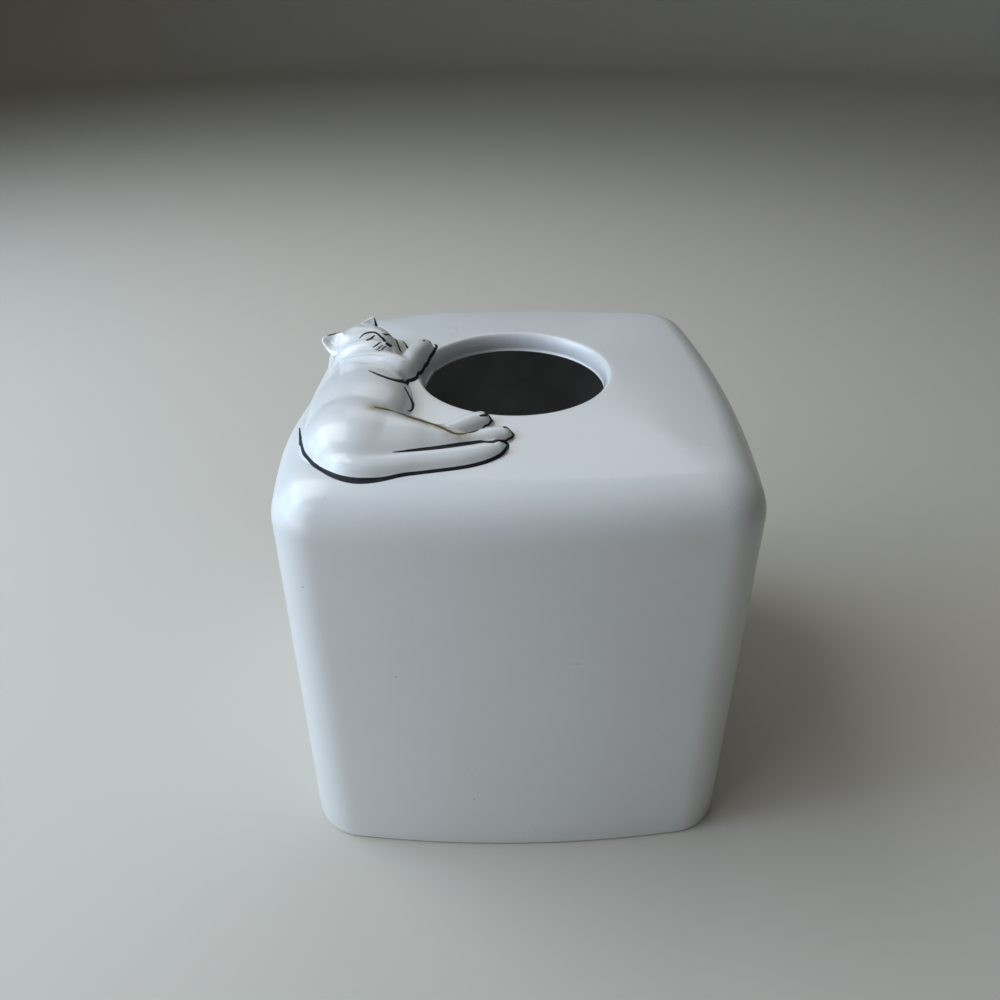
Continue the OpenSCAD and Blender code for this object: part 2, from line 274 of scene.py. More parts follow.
catShape = {
    "spanX": (-68.0, 3.0), "spanY": (-62.0, 40.0),      # part of the roof that the surface covers, mm
    "grid": 0.3,          # spacing of the surface's points, mm
    "flow": 3.0,          # how softly the forms of the body run together, mm
    "crease": 0.8,        # the same for the legs, the tail, the far paw and the far ear, mm
    "melt": 0.45,         # how far the glaze softens the forms, mm
    "sink": 0.12,         # the relief starts this far under the roof's surface, mm
    "under": 1.2,         # and its underside lies this far under it, mm
    "outside": -20.0,     # height given to a form far away from it, mm
    "slope": 1.5,         # how steeply a form's height falls outside it
    "perRow": 14,         # ellipsoids laid for each row
    "thin": 0.04,         # relief lower than this is left out, mm
}
catNodes = {
    "torso": "cat_torso", "haunch": "cat_haunch", "hindLegFar": "cat_hind_leg_far", "tail": "cat_tail",
    "forelegNear": "cat_foreleg_near", "forepawFar": "cat_forepaw_far", "head": "cat_head",
}


def along(rows, count):
    # Catmull-Rom through the rows, evaluated at evenly spaced parameters
    p = np.array(rows, dtype=float)
    q = np.vstack([2 * p[0] - p[1], p, 2 * p[-1] - p[-2]])
    t = np.linspace(0, len(p) - 1 - 1e-9, count)
    i = t.astype(int)
    f = (t - i)[:, None]
    a, b, d, e = q[i], q[i + 1], q[i + 2], q[i + 3]
    square, cube = 2 * a - 5 * b + 4 * d - e, 3 * b - a - 3 * d + e
    return 0.5 * (2 * b + (d - a) * f + square * f ** 2 + cube * f ** 3)


def formHeight(rows, x, y):
    # the highest of a run of half ellipsoids, h sqrt(1 - (d/w)^2), one at each place; outside them it is
    # below zero and falls with the distance
    best = np.full_like(x, catShape["outside"])
    for px, py, w, h in along(rows, catShape["perRow"] * len(rows)):
        d2 = ((x - px) ** 2 + (y - py) ** 2) / w ** 2
        dome = h * np.sqrt(np.maximum(1 - d2, 0))
        best = np.maximum(best, np.where(d2 < 1, dome, -catShape["slope"] * w * (np.sqrt(d2) - 1)))
    return best


def softMax(a, b, k):
    # the higher of two, rounded over where they are closer than k: max + k (1 - |a - b| / k)^2 / 4
    return np.maximum(a, b) + k * np.maximum(1 - np.abs(a - b) / k, 0) ** 2 / 4


def blur(field, sigma):  # Gaussian, along the rows and then the columns
    n = int(math.ceil(3 * sigma))
    k = np.exp(-0.5 * (np.arange(-n, n + 1) / sigma) ** 2)
    k /= k.sum()
    pad = np.pad(field, n, mode="edge")
    pad = sum(w * pad[i:i + field.shape[0]] for i, w in enumerate(k))
    return sum(w * pad[:, i:i + field.shape[1]] for i, w in enumerate(k))


gridX = np.arange(*catShape["spanX"], catShape["grid"])
gridY = np.arange(*catShape["spanY"], catShape["grid"])
fieldX, fieldY = np.meshgrid(gridX, gridY, indexing="ij")
formNames = [n for n in cat if n in catNodes]
forms = {n: formHeight(cat[n], fieldX, fieldY) for n in cat}
forms["head"] = softMax(forms["head"], forms["earRoot"], catShape["flow"])
forms["head"] = softMax(forms["head"], forms["earRootFar"], catShape["crease"])
whole = forms["torso"]
for n in ("haunch", "head", "neck", "cheek", "upperArm"):
    whole = softMax(whole, forms[n], catShape["flow"])
forms["forelegNear"] = np.maximum(forms["forelegNear"], forms["upperArm"])
for n in ("forelegNear", "forepawFar", "hindLegFar", "tail"):
    whole = softMax(whole, forms[n], catShape["crease"])
catHeight = blur(np.maximum(whole, 0), catShape["melt"] / catShape["grid"])
owner = np.array([forms[n] for n in formNames]).argmax(0)
roofField = roofZ(fieldX, fieldY)
surfaceZ = roofField + catHeight - catShape["sink"]
print("cat relief field", catHeight.shape, "highest", round(float(catHeight.max()), 2), "mm")


def sampleField(field, x, y):  # between four grid points, bilinear
    u = np.clip((x - gridX[0]) / catShape["grid"], 0, len(gridX) - 1.001)
    v = np.clip((y - gridY[0]) / catShape["grid"], 0, len(gridY) - 1.001)
    i, j = u.astype(int), v.astype(int)
    f, g = u - i, v - j
    return (field[i, j] * (1 - f) * (1 - g) + field[i + 1, j] * f * (1 - g)
            + field[i, j + 1] * (1 - f) * g + field[i + 1, j + 1] * f * g)


def shownZ(x, y):  # the higher of the cover's roof and the relief
    return np.maximum(roofZ(x, y), sampleField(surfaceZ, x, y))


gx, gy = np.gradient(surfaceZ, catShape["grid"])
fieldNormal = np.stack([-gx, -gy, np.ones_like(gx)], -1)
fieldNormal /= np.linalg.norm(fieldNormal, axis=-1, keepdims=True)


def surfaceNormal(x, y, step=0.35):
    # from the slopes of the shown surface, by differences over a short step, mm
    sx = (shownZ(x + step, y) - shownZ(x - step, y)) / (2 * step)
    sy = (shownZ(x, y + step) - shownZ(x, y - step)) / (2 * step)
    n = np.stack([-sx, -sy, np.ones_like(sx)], -1)
    return n / np.linalg.norm(n, axis=-1, keepdims=True)


def pathDistance(x, y, rows):
    # distance in plan from points to a stroke's path
    path = along([(px, py, w, 0) for px, py, w in rows], 8 * len(rows))
    best = np.full(np.shape(x), 1e9)
    for px, py in path[:, :2]:
        best = np.minimum(best, (x - px) ** 2 + (y - py) ** 2)
    return np.sqrt(best)


def buildForm(name, mask):
    # the part of the relief that belongs to one form, closed underneath and round its border
    rows, cols = fieldX.shape
    use = np.zeros((rows, cols), bool)
    use[:-1, :-1] |= mask
    use[1:, :-1] |= mask
    use[:-1, 1:] |= mask
    use[1:, 1:] |= mask
    index = np.full((rows, cols), -1)
    index[use] = np.arange(use.sum())
    count = int(use.sum())
    topPts = np.stack([fieldX[use], fieldY[use], surfaceZ[use]], -1)
    lowPts = np.stack([fieldX[use], fieldY[use], roofField[use] - catShape["under"]], -1)
    i, j = np.nonzero(mask)
    a, b, d, e = index[i, j], index[i + 1, j], index[i + 1, j + 1], index[i, j + 1]
    topFaces = np.stack([a, b, d, e], -1)
    lowFaces = np.stack([a, e, d, b], -1) + count
    padded = np.pad(mask, 1)
    sides = []
    for di, dj, p, q in ((-1, 0, 3, 0), (1, 0, 1, 2), (0, -1, 0, 1), (0, 1, 2, 3)):
        open_ = ~padded[i + 1 + di, j + 1 + dj]
        ring = topFaces[open_]
        sides.append(np.stack([ring[:, q], ring[:, p], ring[:, p] + count, ring[:, q] + count], -1))
    sideFaces = np.concatenate(sides)
    faces = np.concatenate([topFaces, lowFaces, sideFaces])
    obj = newMesh(name, np.vstack([topPts, lowPts]), faces)
    flat = np.zeros(len(faces), bool)
    flat[:len(topFaces)] = True
    obj.data.polygons.foreach_set("use_smooth", flat)
    normals = np.zeros((faces.size, 3))
    normals[:topFaces.size] = fieldNormal[use][topFaces.ravel()]
    obj.data.normals_split_custom_set(normals.tolist())
    return obj


print("frame loaded, building the cover")
coverObj = addPiece(buildCover(), "cover_glaze", "cover_shell")
corners = [catHeight[:-1, :-1], catHeight[1:, :-1], catHeight[:-1, 1:], catHeight[1:, 1:]]
cell = np.maximum.reduce(corners) > catShape["thin"]
cellOwner = owner[:-1, :-1]
formObjs = {}
for n, name in enumerate(formNames):
    form = buildForm("cat" + name[0].upper() + name[1:], cell & (cellOwner == n))
    formObjs[name] = addPiece(form, "cat_glaze", catNodes[name])
print("cat forms", {n: len(o.data.polygons) for n, o in formObjs.items()})

# ears: root line from a to b, and tip, mm; face is the side that is hollowed; dish is how far it sinks, as a
# share of half the thickness, and lean moves the hollow towards b; bend is how far the root turns down into
# the head; line is the painted edge, in shares of the length and degrees round the section
ears = {
    "catEarLeft": {
        "node": "cat_ear_left",
        "a": (-57.6, 8.4, 140.4), "b": (-55.3, 15.2, 146.4), "tip": (-62.3, 15.4, 144.1),
        "face": (-0.25, -0.57, 0.78),
        "thick": 3.0, "dish": 2.3, "lean": 0.7, "taper": 0.62, "bend": 16.0, "fillet": 2.2,
        "line": {"from": 0.04, "to": 0.86, "turn": 12, "halfAngle": 15},
    },
    "catEarRight": {
        "node": "cat_ear_right",
        "a": (-52.8, 23.2, 144.6), "b": (-44.7, 22.6, 144.0), "tip": (-46.2, 23.8, 148.3),
        "face": (0.1, -0.95, 0.3),
        "thick": 2.4, "dish": 1.0, "lean": 0.0, "taper": 0.72, "bend": 12.0, "fillet": 1.4,
        "line": {"from": 0.16, "to": 0.97, "turn": 25, "halfAngle": 26},
    },
}
earShape = {
    "rootFrom": -0.4,       # the leaf starts this far below the root line, as a share of its length
    "rootNarrow": 0.6,      # and narrows by this much of that share
    "hollowFull": 0.6,      # the face reaches its full depth this far up
    "filletUnder": 0.08,    # the blended face lies this far under the head's surface, mm
    "paintLift": 0.1, "paintSkirt": 0.05, "paintUnder": 0.25,      # the bead along the edge, mm
}


def earSurface(e, s, p):
    # a leaf from the root line to the tip: half width sqrt(1 - s^3) (1 - taper s) of the root's, lens
    # section, its face dished by sin^2 p (1 - s^3), and below the root line bent down into the head by
    # bend s^2; s runs from there to the tip, 1, and p turns round the section, 0 at the edge on b's side
    a, b, tip = (np.array(e[k]) for k in ("a", "b", "tip"))
    half = np.linalg.norm(b - a) / 2
    across = (b - a) / (2 * half)
    run = tip - (a + b) / 2
    face = np.cross(across, run)
    face /= np.linalg.norm(face)
    face *= np.sign(face @ np.array(e["face"]))
    grow = np.clip(s, 0, 1)
    r = np.sqrt(np.maximum(1 - grow ** 3, 0)) * (1 - e["taper"] * grow)
    sunk = np.minimum(s, 0)
    hollow = np.sin(p) ** 2 * (1 + e["lean"] * np.cos(p)) * (1 - grow ** 3)
    deep = 1 + (e["dish"] - 1) * smoothStep(grow / earShape["hollowFull"])
    dish = np.where(np.sin(p) > 0, 1 - deep * hollow, 1)
    wide = half * r * (1 + earShape["rootNarrow"] * sunk) * np.cos(p)
    high = e["thick"] / 2 * np.sqrt(r) * np.sin(p) * dish - e["bend"] * sunk ** 2
    pts = (a + b) / 2 + run * s[..., None] + across * wide[..., None] + face * high[..., None]
    # the face runs over into the head with a fillet
    z = pts[..., 2]
    over = softMax(z, shownZ(pts[..., 0], pts[..., 1]), e["fillet"]) - earShape["filletUnder"]
    pts[..., 2] = z + smoothStep(0.5 + 2 * np.sin(p)) * (over - z)
    return pts, across, face


def weld(obj):
    # merges doubles, closes open ends, turns the faces outwards
    bm = bmesh.new()
    bm.from_mesh(obj.data)
    bmesh.ops.remove_doubles(bm, verts=bm.verts, dist=1e-7)
    bmesh.ops.holes_fill(bm, edges=[edge for edge in bm.edges if edge.is_boundary])
    bmesh.ops.recalc_face_normals(bm, faces=bm.faces)
    bm.to_mesh(obj.data)
    bm.free()
    obj.data.polygons.foreach_set("use_smooth", np.full(len(obj.data.polygons), True))
    return obj


def buildEar(name, e, rings=26, sides=40):  # rings of the leaf's surface, closed at its root and its tip
    around = np.linspace(0, 2 * math.pi, sides, endpoint=False)
    s, p = np.meshgrid(np.linspace(earShape["rootFrom"], 1, rings), around, indexing="ij")
    pts, _, _ = earSurface(e, s, p)
    return weld(newMesh(name, pts, gridFaces(rings, sides, closeCols=True)))


def earLine(e, rings=30, sides=9):
    # a bead of paint along the ear's edge on b's side, from the root nearly to the tip: lift (1 - u^4) -
    # skirt over the leaf's skin, its half angle drawn to points by sqrt(1 - (2 t - 1)^4)
    line = e["line"]
    t, u = np.meshgrid(np.linspace(0, 1, rings), np.linspace(-1, 1, sides), indexing="ij")
    s = line["from"] + (line["to"] - line["from"]) * t
    wide = np.radians(line["halfAngle"]) * np.sqrt(np.maximum(1 - (2 * t - 1) ** 4, 0))
    p = np.radians(line["turn"]) + wide * u
    pts, across, face = earSurface(e, s, p)
    out = across * np.cos(p)[..., None] + face * np.sin(p)[..., None]
    topSide = pts + out * (earShape["paintLift"] * (1 - u ** 4) - earShape["paintSkirt"])[..., None]
    lowSide = (pts - out * earShape["paintUnder"])[:, ::-1]
    return np.concatenate([topSide, lowSide[:, 1:-1]], 1)


earObjs = {n: addPiece(buildEar(n, e), "cat_glaze", e["node"]) for n, e in ears.items()}


# the view of the photograph
view = {
    "at": (-6.199, -228.282, 245.611),                 # mm
    "down": 34.204, "roll": -0.408, "yaw": 0.363,      # degrees
    "focal": 0.79325,                                  # focal length as a share of the frame's width
    "sensor": 36,                                      # mm
    "frame": 1000,                                     # width and height of the frame, pixels
}
down, roll, yaw = (math.radians(view[k]) for k in ("down", "roll", "yaw"))
viewTurn = (Matrix.Rotation(-yaw, 4, "Z") @ Matrix.Rotation(math.pi / 2 - down, 4, "X")
            @ Matrix.Rotation(roll, 4, "Z"))
viewAxes = np.array(viewTurn.to_3x3())       # its columns point right, up and back
viewAt = np.array(view["at"])
focal = view["focal"] * view["frame"]

# painted lines: rows are a place in the frame and the half width seen there, pixels
seenLines = {
    "black": {
        "bodyOutline": [
            (299.6, 428, 0.5), (299.8, 433, 0.9), (300.3, 438, 1.2), (301.6, 446, 1.4),
            (305.5, 455.5, 1.6), (316, 466.5, 1.8), (331, 475, 2.1), (348, 480.3, 2.5),
            (366, 481.3, 2.5), (384, 479.2, 1.9), (404, 474.6, 1.7), (425, 472.2, 1.6),
            (448, 469.6, 1.6), (468, 466.6, 1.7), (484, 462.6, 1.7), (496, 457.6, 1.7),
            (504.5, 451.5, 1.6), (507.8, 446, 1.5), (506, 442.8, 1.3), (501, 441.2, 1.3),
            (492, 441.5, 1.4), (478, 443, 1.5), (463, 445.2, 1.6), (447, 447, 1.6), (430, 448.8, 1.5),
            (414, 450.2, 1.2), (402, 451.4, 0.8), (392.6, 452.2, 0.35),
        ],
        "forelegLine": [
            (368.8, 370.5, 0.35), (374, 372.8, 0.6), (380, 375.3, 0.8), (387.5, 378, 1),
            (393, 379.6, 1.1), (398, 380.8, 1.2), (403, 381.6, 1.3), (407.5, 381.9, 1.4),
            (412, 381, 1.5), (416.3, 378.5, 1.5), (420.5, 373, 1.4), (425, 366, 1.4), (430, 358, 1.4),
            (434.3, 351.3, 1.4), (436.6, 346.3, 1.2), (435.2, 344.4, 0.8),
        ],
        "bellyLine": [
            (404.6, 387.3, 0.4), (407.6, 392.5, 0.9), (410.6, 398.5, 1.1), (412.8, 404.5, 1.1),
            (412.6, 408.6, 1), (410.5, 410.8, 0.7), (407.8, 410.8, 0.4),
        ],
        "farPawLine": [
            (484.5, 413.2, 0.5), (488.8, 414.2, 0.9), (491.8, 417, 1.1), (492, 420.5, 1.1),
            (489, 424.6, 1.1), (483, 428.1, 1), (475.5, 430.6, 0.9), (468, 432.6, 0.5),
        ],
        "farPawToe": [(479.5, 415.8, 0.7), (483.5, 415.3, 1.1), (487.5, 415.8, 0.7)],
        "nearPawLine": [
            (506.5, 426.2, 0.5), (511, 426.6, 0.8), (514.5, 429.5, 1), (515.2, 433, 1.1),
            (512.5, 437, 1.1), (507.5, 439.8, 1), (502.5, 440.8, 0.6),
        ],
        "nearPawToe": [(503.5, 427.6, 0.6), (507, 426.8, 1), (510.3, 427.6, 0.6)],
        "brow": [
            (359.3, 338.5, 0.35), (362, 335.8, 0.6), (364.3, 333.9, 0.7), (367.4, 332.8, 0.75),
            (371.2, 332.2, 0.75), (375.1, 332.6, 0.8), (378.2, 334.3, 0.85), (381.2, 337.4, 0.85),
            (384.3, 340.3, 0.9), (387, 342.4, 1),
        ],
        "nose": [(386.6, 342.4, 1.2), (389.1, 343.7, 2), (391.4, 344.9, 1)],
        "eyeNear": [(366.3, 340.7, 0.7), (369.2, 339.3, 0.95), (372.2, 337.4, 0.95), (374.8, 335.3, 0.6)],
        "eyeFar": [(382.4, 333.4, 0.35), (385.1, 334.5, 0.7), (388.2, 334.6, 0.7), (390.3, 335.4, 0.35)],
        "whiskerA": [(372.9, 347.4, 0.6), (376.8, 345, 0.8), (381, 342.1, 0.6)],
        "whiskerB": [(375.2, 350.1, 0.6), (379.2, 347.8, 0.8), (382.8, 345.2, 0.6)],
        "whiskerC": [(378.3, 351.4, 0.6), (382.5, 349, 0.8), (386.3, 346.3, 0.6)],
        "mouth": [
            (395.1, 338.9, 0.4), (396.6, 341.2, 0.7), (398.2, 345.1, 0.7), (399.7, 349.3, 0.65),
            (401.6, 352.8, 0.35),
        ],
        "farToeLine": [
            (402.8, 340.5, 0.4), (405.5, 342.4, 0.8), (407.9, 344.3, 1.1), (408.3, 346, 1.1),
            (407, 348.2, 0.5),
        ],
        "pawToeA": [(422.8, 340.9, 0.3), (424.2, 340.5, 0.5), (425.4, 340.9, 0.3)],
        "pawToeB": [(429.4, 341.1, 0.3), (430.6, 341.9, 0.5), (431.4, 342.7, 0.3)],
    },
    # a dark brown bead in the thigh's crease: dirt and painted shade
    "crease": {
        "thighCrease": [
            (373.7, 407, 0.4), (383.5, 408.9, 0.8), (394.7, 411.5, 0.9), (409.4, 416.8, 0.9),
            (422.5, 421, 0.9), (434.7, 424.7, 0.9), (444, 428.6, 0.9), (451.5, 432.4, 0.9),
            (458, 433.9, 0.8), (464, 433.7, 0.6), (470, 432, 0.35),
        ],
    },
    # faint grey lines; the one along the neck is painted shade in the crease under the head
    "faint": {
        "neckLine": [
            (343, 358.8, 0.2), (349, 357.4, 0.3), (355.3, 356.4, 0.3), (361.7, 355.3, 0.3),
            (370, 354.9, 0.3), (378, 355.1, 0.3), (385, 355.6, 0.2),
        ],
        "noseSide": [(393.4, 343.2, 0.25), (395, 345.6, 0.4), (396.2, 346.8, 0.25)],
    },
}
# the line along the back is laid out from above: rows are x, y, half width, mm
backLine = [
    (-59.9, 8.0, 0.10), (-59.9, 4.0, 0.20), (-60.0, 0.0, 0.25), (-60.3, -6.0, 0.25),
    (-61.2, -12.0, 0.25), (-61.6, -18.0, 0.25), (-61.5, -23.0, 0.25), (-61.3, -26.5, 0.20),
]
lineShape = {
    "levels": (152.0, 128.0), "level": 0.02,      # heights at which a line of sight is tried, mm
    "onForm": {      # lines that lie on the relief, also where the roof behind it is seen beside them
        "farPawLine", "farPawToe", "nearPawLine", "nearPawToe", "eyeFar", "mouth", "farToeLine", "pawToeA",
        "pawToeB", "noseSide",
    },
    "aside": 6.0, "asideStep": 0.5,               # such a place is moved up to this far, pixels
    "asideWays": ((0, 1), (-0.5, 0.86), (0.5, 0.86), (-1, 0)),
    "onFormHeight": 0.5,                          # until the relief is this high there, mm
    "filled": {"forelegLine", "bellyLine"}, "fillStep": 3.2,      # lines with places put between, mm apart
    "even": {"forelegLine": 2},                   # how often the widths are evened out
    "slant": 0.36,                                # a slanting surface broadens a line no more than 1 / slant
    "across": 0.15,                               # step for measuring the slant, mm
    "broaden": 1.51,                              # paint's half width over that of its dark middle
    "broadenOf": {
        "brow": 1.45, "nose": 0.95, "eyeNear": 1.33, "eyeFar": 1.39, "whiskerA": 1.16, "whiskerB": 0.99,
        "whiskerC": 0.93, "mouth": 1.33, "farToeLine": 1.16,
    },
}


def seenAt(pts):  # pixels at which places are seen
    local = (pts - viewAt) @ viewAxes
    return view["frame"] / 2 + focal * local[..., :2] * (1, -1) / -local[..., 2:]


def sight(pixels, z):  # x and y of the lines of sight through pixels, at heights z
    half = view["frame"] / 2
    u, v = pixels[..., :1], pixels[..., 1:]
    ray = np.concatenate([u - half, half - v, np.full_like(u, -focal)], -1) @ viewAxes.T
    t = (z - viewAt[2]) / ray[..., 2:]
    return viewAt[0] + t * ray[..., :1], viewAt[1] + t * ray[..., 1:2]


def land(pixels):
    # x, y of the first place, from above, where each line of sight meets the shown surface
    z = np.arange(*lineShape["levels"], -lineShape["level"])
    x, y = sight(pixels, z)
    first = (z <= shownZ(x, y)).argmax(-1)[..., None]
    return np.concatenate([np.take_along_axis(x, first, -1), np.take_along_axis(y, first, -1)], -1)


def landOnForm(pixel):
    # the same for one pixel, which is moved aside by growing steps until its place is on the relief
    steps = np.arange(0, lineShape["aside"] + lineShape["asideStep"] / 2, lineShape["asideStep"])
    aside = steps[:, None, None] * np.array(lineShape["asideWays"])
    tries = land(pixel + aside.reshape(-1, 2))
    high = sampleField(catHeight, tries[:, 0], tries[:, 1]) > lineShape["onFormHeight"]
    return tries[high.argmax()]


def landOnCover(pixel):
    # x, y, z of the first place, from above, where a line of sight meets the cover's roof or wall
    z = np.arange(c["height"] + c["roofRise"], 0, -lineShape["level"])
    x, y = sight(np.array(pixel, dtype=float), z)
    ang = np.arctan2(y, x)
    r0, foot = wallReach(ang), footReach(ang)
    wallTop = edgeZ - (c["edgeRadius"] + softness(ang)) * endSin
    wall = r0 + (foot - r0) * (1 - np.clip(z / wallTop, 0, 1))
    first = ((z <= roofZ(x, y)) & (np.hypot(x, y) <= wall)).argmax()
    return x[first], y[first], z[first]


def layLine(name, rows):
    # rows of x, y, half width in mm from rows of pixels: each place is landed on the surface, and gets the
    # width that looks as wide from there, across the line and on the surface's slant
    rows = np.array(rows, dtype=float)
    if name in lineShape["onForm"]:
        at = np.array([landOnForm(pixel) for pixel in rows[:, :2]])
    else:
        at = land(rows[:, :2])
    at = np.column_stack([at, rows[:, 2]])
    if name in lineShape["filled"]:
        filled = [at[:1]]
        for a, b in zip(at[:-1], at[1:]):
            parts = int(math.dist(a[:2], b[:2]) // lineShape["fillStep"]) + 1
            filled.append(a + (b - a) * np.arange(1, parts + 1)[:, None] / parts)
        at = np.concatenate(filled)
    x, y, wide = at.T
    pts = np.stack([x, y, shownZ(x, y)], -1)
    side = np.cross(surfaceNormal(x, y), np.gradient(pts, axis=0))
    side *= lineShape["across"] / np.linalg.norm(side, axis=1, keepdims=True)
    run = np.gradient(seenAt(pts), axis=0)
    run /= np.linalg.norm(run, axis=1, keepdims=True)
    apart = seenAt(pts + side) - seenAt(pts - side)
    seenScale = np.abs(apart[:, 0] * run[:, 1] - apart[:, 1] * run[:, 0]) / (2 * lineShape["across"])
    squareOn = focal / np.linalg.norm(pts - viewAt, axis=1)      # pixels to the mm, as if faced squarely
    wide = wide * lineShape["broadenOf"].get(name, lineShape["broaden"])
    wide = wide / np.clip(seenScale, squareOn * lineShape["slant"], squareOn)
    for _ in range(lineShape["even"].get(name, 0)):
        wide[1:-1] = (wide[:-2] + 2 * wide[1:-1] + wide[2:]) / 4
    return np.column_stack([x, y, wide])


paintShape = {
    "lift": 0.07, "skirt": 0.12,      # height of a bead's middle over the glaze and depth of its edges, mm
    "under": 0.25,                    # thickness at its middle, mm
    "least": 0.04,                    # least half width, mm
    "perRow": 9, "across": 9,         # sections for each row, and points across
}


def buildStroke(rows):
    # a lens-shaped bead of paint along a path on the surface: across it the height is lift (1 - u^2) -
    # skirt u^8, closed by an underside a little below the surface
    path = along([(x, y, w, 0) for x, y, w in rows], paintShape["perRow"] * len(rows))
    x, y, w = path[:, 0], path[:, 1], np.maximum(path[:, 2], paintShape["least"])
    at = np.stack([x, y, shownZ(x, y)], -1)
    for _ in range(4):                                   # even out the steps of a path over steep flanks
        at[1:-1] = 0.5 * at[1:-1] + 0.25 * (at[:-2] + at[2:])
        at[:, 2] = shownZ(at[:, 0], at[:, 1])
    n = surfaceNormal(at[:, 0], at[:, 1])
    run = np.gradient(at, axis=0)
    side = np.cross(n, run)
    side /= np.maximum(np.linalg.norm(side, axis=-1, keepdims=True), 1e-9)
    u = np.linspace(-1, 1, paintShape["across"])
    pts = at[:, None] + side[:, None] * (u[None, :, None] * w[:, None, None])
    for _ in range(3):                                   # back onto the surface, along its normal
        gap = shownZ(pts[..., 0], pts[..., 1]) - pts[..., 2]
        pts = pts + n[:, None] * (gap * n[:, None, 2])[..., None]
    rise = paintShape["lift"] * (1 - u ** 2) - paintShape["skirt"] * u ** 8
    topSide = pts + n[:, None] * rise[None, :, None]
    lowSide = pts[:, ::-1] + n[:, None] * (rise[::-1] - paintShape["under"] * (1 - u ** 2))[None, :, None]
    return np.concatenate([topSide, lowSide[:, 1:-1]], 1)


def buildPaint(name, strokes, extra=()):
    # all strokes of one paint in one mesh, each drawn to a point at its two ends
    verts, faces, base = [], [], 0
    for ring in [buildStroke(rows) for rows in strokes.values()] + list(extra):
        ends = ring.mean(1)[[0, -1]]
        ring = np.concatenate([np.broadcast_to(ends[:1, None], ring[:1].shape), ring,
                               np.broadcast_to(ends[1:, None], ring[:1].shape)])
        verts.append(ring.reshape(-1, 3))
        faces.append(gridFaces(ring.shape[0], ring.shape[1], closeCols=True) + base)
        base += ring.shape[0] * ring.shape[1]
    return weld(newMesh(name, np.concatenate(verts), np.concatenate(faces)))


paint = {group: {n: layLine(n, rows) for n, rows in lines.items()}
         for group, lines in seenLines.items()}
paint["faint"] = {"backLine": np.array(backLine), **paint["faint"]}
earLines = [earLine(e) for e in ears.values()]
paintObjs = {
    "black": addPiece(buildPaint("paintLines", paint["black"], earLines), "cat_glaze"),
    # the dark brown bead in the thigh's crease, dirt and painted shade
    "crease": addPiece(buildPaint("creaseGrimeAndShade", paint["crease"]), "cat_glaze"),
    "faint": addPiece(buildPaint("faintLines", paint["faint"]), "cat_glaze"),
}
# dirt and painted shade, darker along the thigh's crease, round the paws and under the chin: painted line
# that it follows, reach in mm, strength; it falls as exp(-(d / reach)^2)
grimeAndShade = [
    ("crease", "thighCrease", 2.2, 1.0), ("black", "mouth", 1.8, 0.7), ("black", "farPawLine", 1.0, 0.5),
    ("black", "nearPawLine", 1.0, 0.4), ("black", "farToeLine", 1.2, 0.4),
]
# each form of the cat gets this dirt and painted shade as a vertex attribute
for obj in formObjs.values():
    co = np.empty(len(obj.data.vertices) * 3)
    obj.data.vertices.foreach_get("co", co)
    co = co.reshape(-1, 3) / mm
    dirtAndShade = np.zeros(len(co))
    for group, key, wide, strong in grimeAndShade:
        away = pathDistance(co[:, 0], co[:, 1], paint[group][key])
        dirtAndShade = np.maximum(dirtAndShade, strong * np.exp(-(away / wide) ** 2))
    attribute = obj.data.attributes.new("grimeAndShade", "FLOAT", "POINT")
    attribute.data.foreach_set("value", dirtAndShade)
print("painted lines", {n: len(o.data.polygons) for n, o in paintObjs.items()})


# materials
peelScale, peelDepth = 330, 0.0003        # orange peel of the glaze: noise scale, depth in metres
pinEdge, pinStrength = 0.02, 0.35         # pinholes: how sharp and how dark
roughVary = 0.04
markSoft = 0.4                            # a mark fades over this share of its size
markColours = {
    "dark": (0.16, 0.15, 0.14), "pale": (0.85, 0.85, 0.85), "dash": (0.3, 0.29, 0.27),
    "pit": (0.3, 0.28, 0.25),
}


def newMaterial(name):
    mat = bpy.data.materials.new(name)
    mat.use_nodes = True
    return mat, mat.node_tree.nodes, mat.node_tree.links


def addMark(nodes, links, coords, mark):
    # 1 inside an ellipsoid, falling to 0 at its skin over the soft share of its size
    place = nodes.new("ShaderNodeMapping")
    place.vector_type = "TEXTURE"
    at = mark["at"] if "at" in mark else landOnCover(mark["seen"])
    place.inputs["Location"].default_value = [v * mm for v in at]
    place.inputs["Rotation"].default_value = (0, 0, math.radians(mark.get("turn", 0)))
    place.inputs["Scale"].default_value = [v * mm for v in mark["size"]]
    links.new(coords, place.inputs["Vector"])
    far = nodes.new("ShaderNodeVectorMath")
    far.operation = "LENGTH"
    links.new(place.outputs["Vector"], far.inputs[0])
    fall = nodes.new("ShaderNodeMapRange")
    fall.interpolation_type = "SMOOTHSTEP"
    fall.inputs["From Min"].default_value = 1
    fall.inputs["From Max"].default_value = 1 - markSoft
    fall.inputs["To Max"].default_value = mark["strength"]
    links.new(far.outputs["Value"], fall.inputs["Value"])
    return fall.outputs["Result"]


def mixColour(nodes, links, fac, first, second):  # from the linked colour to the given one
    mix = nodes.new("ShaderNodeMix")
    mix.data_type = "RGBA"
    links.new(fac, mix.inputs["Factor"])
    links.new(first, mix.inputs["A"])
    mix.inputs["B"].default_value = (*second, 1)
    return mix.outputs["Result"]


def noiseNode(nodes, links, coords, scale, detail, rough=0.5):  # scale is in features to the metre
    noise = nodes.new("ShaderNodeTexNoise")
    noise.inputs["Scale"].default_value = scale
    noise.inputs["Detail"].default_value = detail
    noise.inputs["Roughness"].default_value = rough
    links.new(coords, noise.inputs["Vector"])
    return noise.outputs["Fac"]


def rangeNode(nodes, links, value, low, high, outLow=0.0, outHigh=1.0):
    span = nodes.new("ShaderNodeMapRange")
    for key, v in (("From Min", low), ("From Max", high), ("To Min", outLow), ("To Max", outHigh)):
        span.inputs[key].default_value = v
    links.new(value, span.inputs["Value"])
    return span.outputs["Result"]


